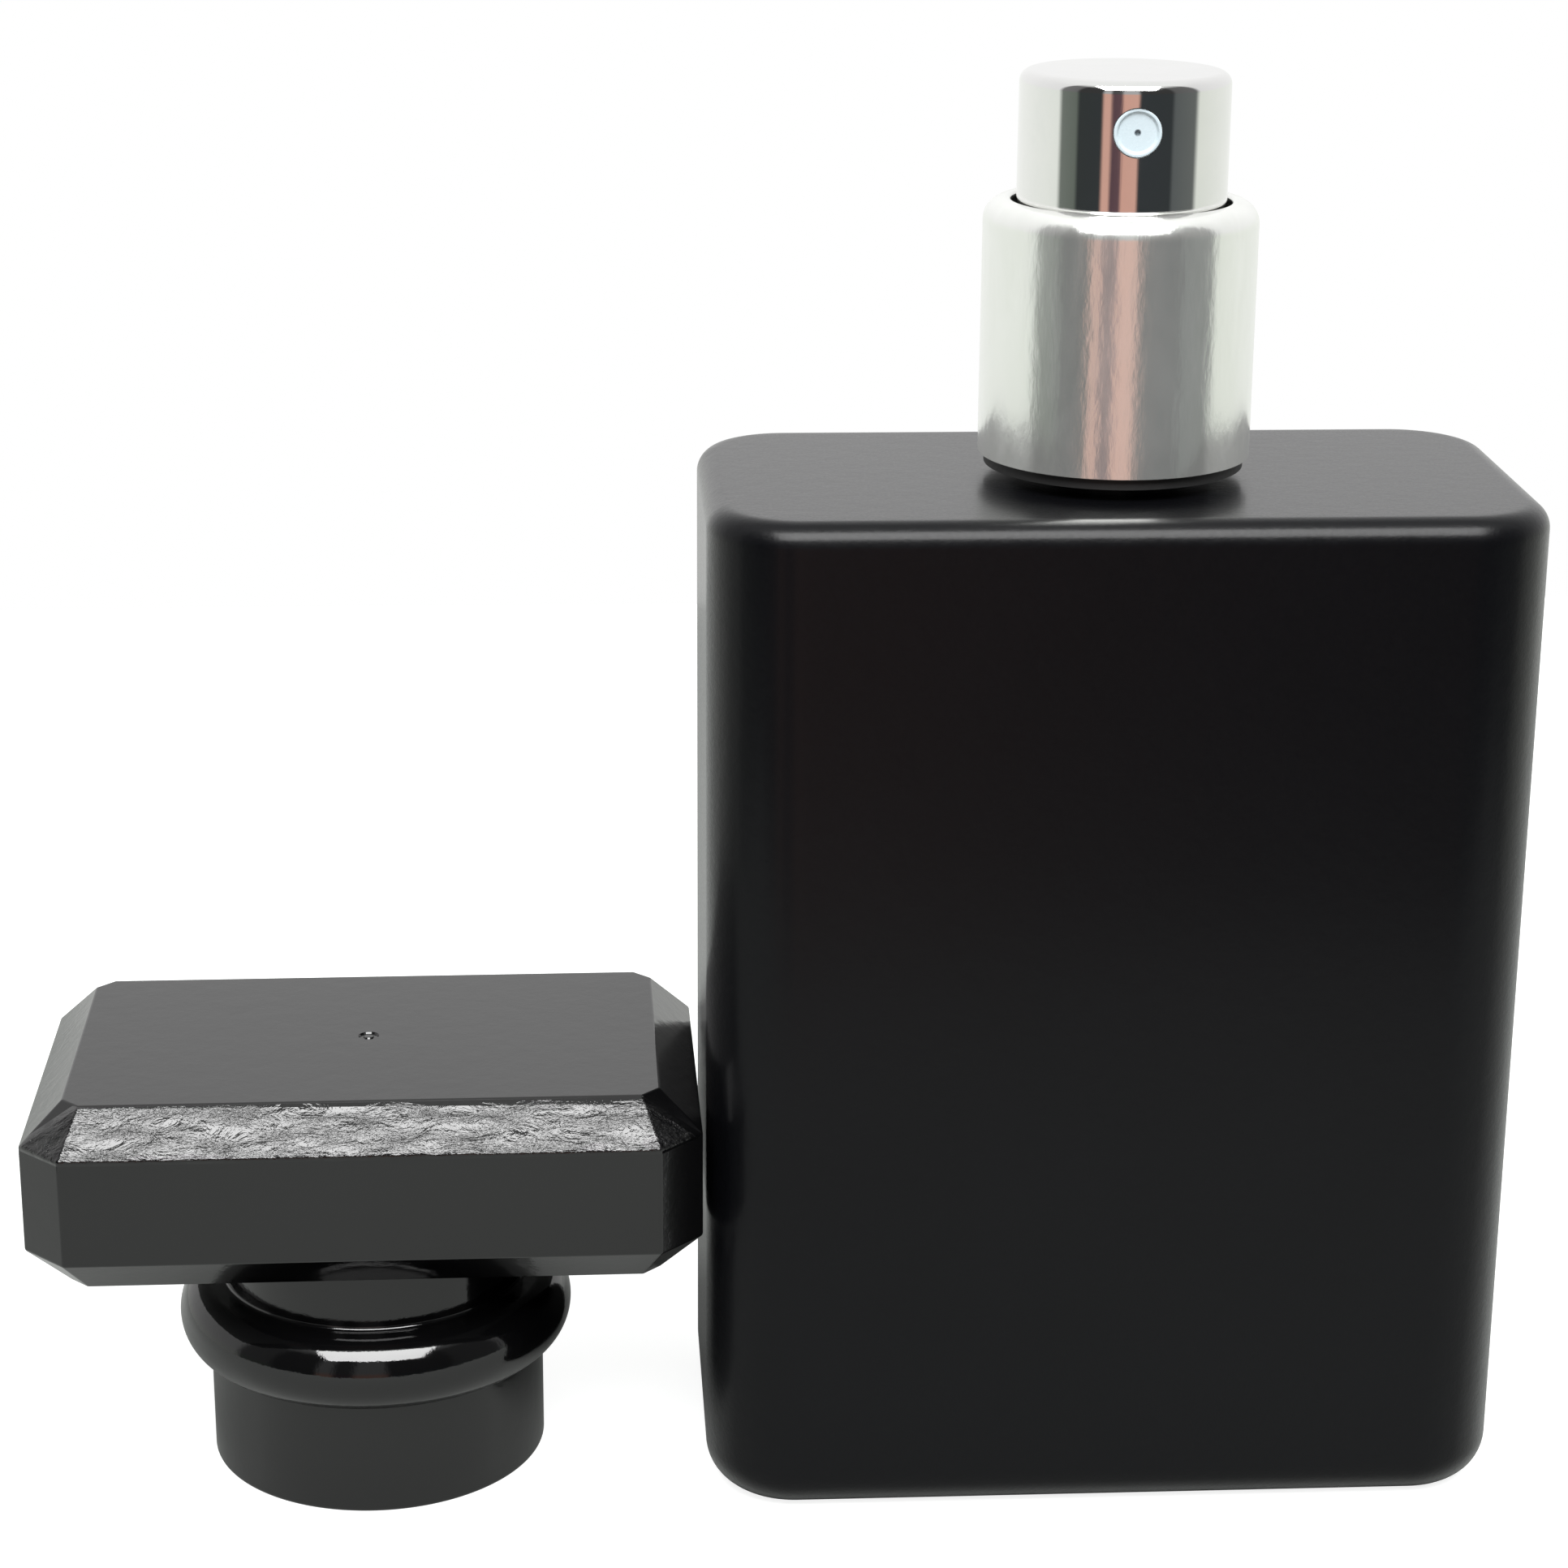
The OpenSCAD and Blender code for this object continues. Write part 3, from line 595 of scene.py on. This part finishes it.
waves_group.links.new(stretch(waves_group, waves_mottle, 0.35, 0.65, 0.0, 1.0), waves_out.inputs["Mottle"])

satin_metal, satin_tree, satin_shader, satin_place = new_finish("satin polished aluminium", 0.88)
satin_drawn = add_node(satin_tree, "ShaderNodeMapping")
satin_drawn.inputs["Scale"].default_value = (1.0, 1.0, 0.35)
satin_tree.links.new(satin_place, satin_drawn.inputs["Vector"])
satin_waves = use_effect(satin_tree, waves_group, satin_drawn.outputs["Vector"], Size=0.0008)
satin_colour = between(satin_tree, satin_waves.outputs["Mottle"], (0.87, 0.885, 0.85), (0.92, 0.93, 0.905))
satin_tree.links.new(satin_colour, satin_shader.inputs["Base Color"])
satin_rough = stretch(satin_tree, satin_waves.outputs["Mottle"], 0.0, 1.0, 0.16, 0.24)
satin_tree.links.new(satin_rough, satin_shader.inputs["Roughness"])
raise_surface(satin_tree, satin_shader, satin_waves.outputs["Height"], 0.00003, 0.8)

collar_turn = (collar_radius - collar_edge, collar_high.z - collar_edge)
collar_outline = [(collar_radius - collar_wall, collar_low.z), (collar_radius - collar_chamfer, collar_low.z)]
collar_outline += [(collar_radius, collar_low.z + collar_chamfer)]
collar_outline += rounding(collar_turn, collar_edge, 0, 90, 20)
collar_outline += rounding((collar_lip, collar_high.z - collar_wall / 2), collar_wall / 2, 90, 270, 12)
collar_outline += rounding(collar_turn, collar_edge - collar_wall, 90, 0, 12)
collar_cover = turned("collar_cover", collar_outline, 256)
smooth_off(collar_cover)
collar_cover.data.materials.append(satin_metal)
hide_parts("collar_shell")
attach(collar_cover, "bottle")


# The push-button. A moulded core sits on the stem inside a deep drawn aluminium cup, which is
# bright dipped to a mirror and pierced for the nozzle.
button_low, button_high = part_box("actuator_shell")
button_radius = button_high.x
button_wall = 0.4 * MM
button_edge = 0.8 * MM
nozzle_hole = 1.55 * MM
nozzle_drop = 3.1 * MM
repaint("actuator_core", moulded("light core plastic", (0.70, 0.70, 0.68), (0.80, 0.80, 0.78), 0.3, 0.42))

mirror_metal, mirror_tree, mirror_shader, mirror_place = new_finish("bright dipped aluminium", 1.0)
mirror_waves = use_effect(mirror_tree, waves_group, mirror_place, Size=0.0032)
mirror_marks = use_effect(mirror_tree, marks_group, mirror_place, Dust=0.0)
mirror_colour = between(mirror_tree, mirror_waves.outputs["Mottle"],
                        (0.885, 0.885, 0.875), (0.915, 0.91, 0.90))
mirror_tree.links.new(mirror_colour, mirror_shader.inputs["Base Color"])
mirror_rough = stretch(mirror_tree, mirror_marks.outputs["Smudge"], 0.0, 1.0, 0.045, 0.10)
mirror_tree.links.new(mirror_rough, mirror_shader.inputs["Roughness"])
raise_surface(mirror_tree, mirror_shader, mirror_waves.outputs["Height"], 0.000012, 0.15)

button_roof = button_high.z - button_wall
button_outline = [(0.0, button_roof), (button_radius - button_wall, button_roof)]
button_outline += [(button_radius - button_wall, button_low.z), (button_radius, button_low.z)]
button_outline += rounding((button_radius - button_edge, button_high.z - button_edge), button_edge, 0, 90, 16)
button_outline += [(0.0, button_high.z)]
button_cup = turned("button_cup", button_outline, 256)
nozzle_aim = Matrix.Translation((0, 0, button_high.z - nozzle_drop))
nozzle_aim = nozzle_aim @ Matrix.Rotation(math.radians(-1), 4, "Z")
nozzle_aim = nozzle_aim @ Matrix.Rotation(math.radians(90), 4, "X")
pierce = turned("pierce", [(0.0, 0.0), (nozzle_hole, 0.0), (nozzle_hole, 8 * MM), (0.0, 8 * MM)], 72)
pierce.data.transform(nozzle_aim)
work_with(button_cup, pierce, "DIFFERENCE")
smooth_off(button_cup)
button_cup.data.materials.clear()
button_cup.data.materials.append(mirror_metal)
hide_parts("actuator_shell")
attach(button_cup, "push_button")


# The nozzle. A dished insert of pale blue plastic with a narrow rim, pressed into the core, its
# spray orifice in the middle of the dish.
nozzle_face = 6.62 * MM
nozzle_radius = 1.5 * MM
nozzle_back = nozzle_face - 2.0 * MM
nozzle_dish = nozzle_face - 0.15 * MM
post_radius = 0.75 * MM
post_face = nozzle_dish - 0.35 * MM
orifice_radius = 0.15 * MM
orifice_floor = nozzle_dish - 0.33 * MM
nozzle_outline = [(post_radius, nozzle_back), (nozzle_radius, nozzle_back)]
nozzle_outline += rounding((nozzle_radius - 0.07 * MM, nozzle_face - 0.07 * MM), 0.07 * MM, 0, 90, 5)
nozzle_outline += rounding((nozzle_radius - 0.16 * MM, nozzle_face - 0.04 * MM), 0.04 * MM, 90, 180, 4)
nozzle_outline += rounding((nozzle_radius - 0.36 * MM, nozzle_dish + 0.1 * MM), 0.1 * MM, -20, -90, 6)
nozzle_outline += [(0.25 * MM, nozzle_dish)]
nozzle_outline += rounding((0.2 * MM, nozzle_dish - 0.05 * MM), 0.05 * MM, 90, 180, 4)
nozzle_outline += [(orifice_radius, orifice_floor), (0.0, orifice_floor)]
nozzle_outline += [(0.0, post_face), (post_radius, post_face)]
nozzle = turned("nozzle", nozzle_outline, 96)
nozzle.data.transform(nozzle_aim)
smooth_off(nozzle, 40.0)

nozzle_plastic, nozzle_tree, nozzle_shader, nozzle_place = new_finish("pale blue nozzle plastic")
nozzle_grain = use_effect(nozzle_tree, grain_group, nozzle_place, Size=0.0003)
nozzle_pale = between(nozzle_tree, nozzle_grain.outputs["Cloud"], (0.44, 0.53, 0.57), (0.50, 0.58, 0.62))
# Painted shade: the mouth of the spray orifice is painted near black, in place of the dark inside of the
# hole.
orifice_centre = add_node(nozzle_tree, "ShaderNodeMapping")
orifice_place = nozzle_aim @ Vector((0.0, 0.0, nozzle_dish))
orifice_centre.inputs["Location"].default_value = -orifice_place
nozzle_tree.links.new(nozzle_place, orifice_centre.inputs["Vector"])
orifice_away = add_node(nozzle_tree, "ShaderNodeVectorMath", operation="LENGTH")
nozzle_tree.links.new(orifice_centre.outputs["Vector"], orifice_away.inputs[0])
orifice_painted_shade = stretch(nozzle_tree, orifice_away.outputs["Value"], 0.00016, 0.00024, 1.0, 0.0)
nozzle_colour = between(nozzle_tree, orifice_painted_shade, nozzle_pale, (0.05, 0.06, 0.07))
nozzle_tree.links.new(nozzle_colour, nozzle_shader.inputs["Base Color"])
nozzle_rough = stretch(nozzle_tree, nozzle_grain.outputs["Height"], 0.3, 0.7, 0.22, 0.32)
nozzle_tree.links.new(nozzle_rough, nozzle_shader.inputs["Roughness"])
nozzle.data.materials.append(nozzle_plastic)
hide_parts("nozzle_insert")
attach(nozzle, "push_button")


# The cap. A heavy slab with bevelled edges and cut corners over a round neck, a bead and a skirt,
# moulded in one in gloss black plastic. Its gate leaves a small ring mark on the slab's top.
cap_low, cap_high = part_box("cap_liner")
cap_centre = (cap_low + cap_high) / 2
cap_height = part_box("cap_shell")[1].z
slab_long = 44.2 * MM
slab_deep = 28.0 * MM
slab_low = cap_height - 12.8 * MM
slab_cut = 2.8 * MM
bevel_in = 2.8 * MM
bevel_rise = 2.75 * MM
skirt_radius = 11.4 * MM
cap_neck_radius = 10.3 * MM
cap_bead_height = 10.4 * MM
cap_bead_half = 2.5 * MM
cap_bead_out = 2.0 * MM
skirt_edge = 0.25 * MM
neck_fillet = 0.3 * MM
slab_edge = 0.11 * MM
gate_radius = 0.7 * MM
gate_floor = cap_height - 0.03 * MM
gate_groove = cap_height - 0.12 * MM
liner_radius = 9.4 * MM
liner_bore_radius = 8.9 * MM
liner_wall = 0.5 * MM


def slab_ring(inset, height):
    """The eight corners of the slab, drawn in by inset, at one height."""
    half_x = slab_long / 2 - inset
    half_y = slab_deep / 2 - inset
    leg = slab_cut - (2 - math.sqrt(2)) * inset
    corners = []
    for side_x, side_y in ((1, 1), (-1, 1), (-1, -1), (1, -1)):
        pair = [(side_x * half_x, side_y * (half_y - leg), height)]
        pair += [(side_x * (half_x - leg), side_y * half_y, height)]
        corners += pair if side_x * side_y > 0 else pair[::-1]
    return corners


slab_points = slab_ring(bevel_in, slab_low) + slab_ring(0.0, slab_low + bevel_rise)
slab_points += slab_ring(0.0, cap_height - bevel_rise) + slab_ring(bevel_in, cap_height)
slab_faces = [tuple(range(8)), tuple(range(24, 32))]
for level in range(3):
    for i in range(8):
        on = (i + 1) % 8
        slab_faces.append((level * 8 + i, level * 8 + on, level * 8 + 8 + on, level * 8 + 8 + i))
cap_body = face_outwards(new_piece("cap_body", slab_points, slab_faces))
slab_mesh = bmesh.new()
slab_mesh.from_mesh(cap_body.data)
bmesh.ops.bevel(slab_mesh, geom=slab_mesh.edges[:], offset=slab_edge, segments=3, profile=0.5, affect="EDGES")
slab_mesh.to_mesh(cap_body.data)
slab_mesh.free()
skirt_outline = [(0.0, 0.0), (skirt_radius - skirt_edge, 0.0)]
skirt_outline += rounding((skirt_radius - skirt_edge, skirt_edge), skirt_edge, -90, 0, 6)
for step in range(37):
    bead_angle = math.radians(-90 + 5 * step)
    bead_reach = skirt_radius + cap_bead_out * math.cos(bead_angle)
    skirt_outline.append((bead_reach, cap_bead_height + cap_bead_half * math.sin(bead_angle)))
bead_top = cap_bead_height + cap_bead_half
fillet_centre = (cap_neck_radius + neck_fillet, bead_top + neck_fillet)
skirt_outline += [(fillet_centre[0], bead_top)]
skirt_outline += rounding(fillet_centre, neck_fillet, 270, 180, 5)
skirt_outline += [(cap_neck_radius, slab_low + MM), (0.0, slab_low + MM)]
work_with(cap_body, turned("skirt", skirt_outline, 256), "UNION")
bore_top = cap_high.z
cap_bore = turned("bore", [(0.0, -MM), (liner_radius, -MM), (liner_radius, bore_top), (0.0, bore_top)])
work_with(cap_body, cap_bore, "DIFFERENCE")
gate_outline = [(0.0, cap_height + MM), (0.0, gate_floor), (0.3 * MM, gate_floor)]
gate_outline += [(0.36 * MM, gate_groove), (0.62 * MM, gate_groove)]
gate_outline += [(gate_radius, cap_height - 0.02 * MM), (gate_radius, cap_height + MM)]
work_with(cap_body, turned("gate", gate_outline, 48), "DIFFERENCE")
cap_place = Matrix.Translation((cap_centre.x, cap_centre.y, 0.0)) @ Matrix.Rotation(math.radians(0.5), 4, "Z")
cap_body.data.transform(cap_place)
smooth_off(cap_body)

gloss_black, gloss_tree, gloss_shader, gloss_place = new_finish("gloss black cap plastic")
gloss_waves = use_effect(gloss_tree, waves_group, gloss_place, Size=0.0016)
gloss_grain = use_effect(gloss_tree, grain_group, gloss_place, Size=0.0004)
gloss_marks = use_effect(gloss_tree, marks_group, gloss_place, Dust=0.03)
gloss_base = between(gloss_tree, gloss_grain.outputs["Cloud"],
                     (0.0012, 0.0012, 0.0013), (0.002, 0.002, 0.0022))
gloss_colour = between(gloss_tree, gloss_marks.outputs["Dust"], gloss_base, (0.16, 0.16, 0.16))
gloss_tree.links.new(gloss_colour, gloss_shader.inputs["Base Color"])
gloss_rough = stretch(gloss_tree, gloss_marks.outputs["Smudge"], 0.0, 1.0, 0.05, 0.12)
gloss_tree.links.new(gloss_rough, gloss_shader.inputs["Roughness"])
gloss_wavy = raise_surface(gloss_tree, gloss_shader, gloss_waves.outputs["Height"], 0.00003, 0.5)
gloss_fine = raise_surface(gloss_tree, gloss_shader, gloss_grain.outputs["Height"], 0.000006, 0.4, gloss_wavy)
flow_low = 27.0 * MM
flow_top = 29.7 * MM
flow_y = -12.0 * MM
flow_fade = 0.2 * MM
flow_stretch = add_node(gloss_tree, "ShaderNodeMapping")
flow_stretch.inputs["Scale"].default_value = (0.45, 1.0, 1.0)
gloss_tree.links.new(gloss_place, flow_stretch.inputs["Vector"])
flow_lines = noise_at(gloss_tree, flow_stretch.outputs["Vector"], 0.0011, 5.0, 0.62, 0.4)
flow_split = add_node(gloss_tree, "ShaderNodeSeparateXYZ")
gloss_tree.links.new(gloss_place, flow_split.inputs["Vector"])
flow_high = stretch(gloss_tree, flow_split.outputs["Z"], flow_low - flow_fade, flow_low + flow_fade, 0.0, 1.0)
flow_front = stretch(gloss_tree, flow_split.outputs["Y"], flow_y + flow_fade, flow_y - flow_fade, 0.0, 1.0)
flow_below = stretch(gloss_tree, flow_split.outputs["Z"], flow_top + 0.05 * MM, flow_top, 0.0, 1.0)
flow_here = work_out(gloss_tree, "MULTIPLY", flow_high, flow_front)
flow_here = work_out(gloss_tree, "MULTIPLY", flow_here, flow_below)
flow_height = work_out(gloss_tree, "MULTIPLY", flow_lines, flow_here)
raise_surface(gloss_tree, gloss_shader, flow_height, 0.0003, 1.0, gloss_fine)
gloss_shader.inputs["Specular IOR Level"].default_value = 0.62
cap_body.data.materials.clear()
cap_body.data.materials.append(gloss_black)
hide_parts("cap_shell")
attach(cap_body, "cap")


# The cap's liner. A thin black tube with a closed end, pushed up inside the cap, which grips the
# collar when the cap is on.
liner_outline = [(liner_bore_radius, cap_low.z + 0.2 * MM), (9.1 * MM, cap_low.z), (liner_radius, cap_low.z)]
liner_outline += [(liner_radius, bore_top), (0.0, bore_top), (0.0, bore_top - liner_wall)]
liner_outline += [(liner_bore_radius, bore_top - liner_wall)]
liner = turned("cap_lining", liner_outline, 192)
liner.data.transform(cap_place)
smooth_off(liner)
liner.data.materials.append(black_plastic)
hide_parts("cap_liner")
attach(liner, "cap")


# The studio. A pale table, one wide soft lamp high in front, and plain pale surroundings that
# turn dark towards the view, where two narrow warm strips show low down.
table_half = 0.16
table_front = -0.12
table_back = 0.22
table_corners = [(-table_half, table_front, 0), (table_half, table_front, 0)]
table_corners += [(table_half, table_back, 0), (-table_half, table_back, 0)]
floor = new_piece("table", table_corners, [(0, 1, 2, 3)])
table_paint = bpy.data.materials.new("pale table")
table_paint.use_nodes = True
table_tree = table_paint.node_tree
table_tree.nodes.clear()
table_matt = add_node(table_tree, "ShaderNodeBsdfDiffuse")
table_matt.inputs["Color"].default_value = (0.32, 0.33, 0.32, 1)
table_glow = add_node(table_tree, "ShaderNodeEmission")
table_glow.inputs["Color"].default_value = (1, 1, 1, 1)
table_glow.inputs["Strength"].default_value = 0.85
table_seen = add_node(table_tree, "ShaderNodeAddShader")
table_tree.links.new(table_matt.outputs["BSDF"], table_seen.inputs[0])
table_tree.links.new(table_glow.outputs["Emission"], table_seen.inputs[1])
table_ray = add_node(table_tree, "ShaderNodeLightPath")
table_choice = add_node(table_tree, "ShaderNodeMixShader")
table_tree.links.new(table_ray.outputs["Is Camera Ray"], table_choice.inputs[0])
table_tree.links.new(table_matt.outputs["BSDF"], table_choice.inputs[1])
table_tree.links.new(table_seen.outputs["Shader"], table_choice.inputs[2])
table_end = add_node(table_tree, "ShaderNodeOutputMaterial")
table_tree.links.new(table_choice.outputs["Shader"], table_end.inputs["Surface"])
floor.data.materials.append(table_paint)

lamp_light = bpy.data.lights.new("soft lamp", "AREA")
lamp_light.shape = "RECTANGLE"
lamp_light.size = 0.92
lamp_light.size_y = 0.62
lamp_light.energy = 25.0
lamp = bpy.data.objects.new("soft lamp", lamp_light)
lamp_aim = Vector((-0.02, 0.0, 0.04))
lamp_from = lamp_aim + Vector((-0.01, -0.57, 0.82))
lamp_turn = (lamp_from - lamp_aim).to_track_quat("Z", "Y").to_matrix().to_4x4()
lamp.matrix_world = Matrix.Translation(lamp_from) @ lamp_turn
lamp.visible_camera = False
bpy.context.scene.collection.objects.link(lamp)

surroundings = bpy.data.worlds.new("surroundings")
surroundings.use_nodes = True
bpy.context.scene.world = surroundings
room = surroundings.node_tree
room.nodes.clear()
room_place = add_node(room, "ShaderNodeTexCoord")
room_split = add_node(room, "ShaderNodeSeparateXYZ")
room.links.new(room_place.outputs["Generated"], room_split.inputs["Vector"])
room_front = work_out(room, "MULTIPLY", room_split.outputs["Y"], -1.0)
room_round = work_out(room, "ARCTAN2", room_split.outputs["X"], room_front)
room_turn = stretch(room, room_round, -math.pi, math.pi, 0.0, 1.0)
room_band = add_node(room, "ShaderNodeValToRGB")
room.links.new(room_turn, room_band.inputs["Fac"])
room_stops = [(-180, (0.95, 0.96, 0.94)), (-84, (0.78, 0.81, 0.76)), (-79, (0.16, 0.18, 0.16)),
              (-62, (0.13, 0.15, 0.13)), (-58, (0.035, 0.040, 0.040)), (-33, (0.035, 0.040, 0.042)),
              (-30, (0.62, 0.36, 0.29)), (-24, (0.62, 0.36, 0.29)), (-21, (0.10, 0.06, 0.07)),
              (-12, (0.12, 0.07, 0.08)), (-9, (0.62, 0.35, 0.28)), (6, (0.62, 0.36, 0.29)),
              (9, (0.035, 0.040, 0.043)), (44, (0.035, 0.040, 0.042)), (48, (0.10, 0.11, 0.11)),
              (74, (0.13, 0.14, 0.135)), (80, (0.74, 0.77, 0.71)), (180, (0.95, 0.96, 0.94))]
stops = room_band.color_ramp.elements
stops[0].position = 0.0
stops[0].color = (*room_stops[0][1], 1)
stops[1].position = 1.0
stops[1].color = (*room_stops[-1][1], 1)
for angle, colour in room_stops[1:-1]:
    stop = stops.new((angle + 180) / 360)
    stop.color = (*colour, 1)
room_grey = add_node(room, "ShaderNodeRGBToBW")
room.links.new(room_band.outputs["Color"], room_grey.inputs["Color"])
room_cool = stretch(room, room_split.outputs["Z"], -0.05, 0.10, 0.0, 1.0)
room_side = between(room, room_cool, room_band.outputs["Color"], room_grey.outputs["Val"])
room_above = stretch(room, room_split.outputs["Z"], 0.72, 0.92, 0.0, 1.0)
room_colour = between(room, room_above, room_side, (0.90, 0.91, 0.90))
room_glow = add_node(room, "ShaderNodeBackground")
room.links.new(room_colour, room_glow.inputs["Color"])
room_white = add_node(room, "ShaderNodeBackground")
room_white.inputs["Color"].default_value = (1, 1, 1, 1)
room_white.inputs["Strength"].default_value = 1.0
room_ray = add_node(room, "ShaderNodeLightPath")
room_choice = add_node(room, "ShaderNodeMixShader")
room.links.new(room_ray.outputs["Is Camera Ray"], room_choice.inputs[0])
room.links.new(room_glow.outputs["Background"], room_choice.inputs[1])
room.links.new(room_white.outputs["Background"], room_choice.inputs[2])
room_end = add_node(room, "ShaderNodeOutputWorld")
room.links.new(room_choice.outputs["Shader"], room_end.inputs["Surface"])
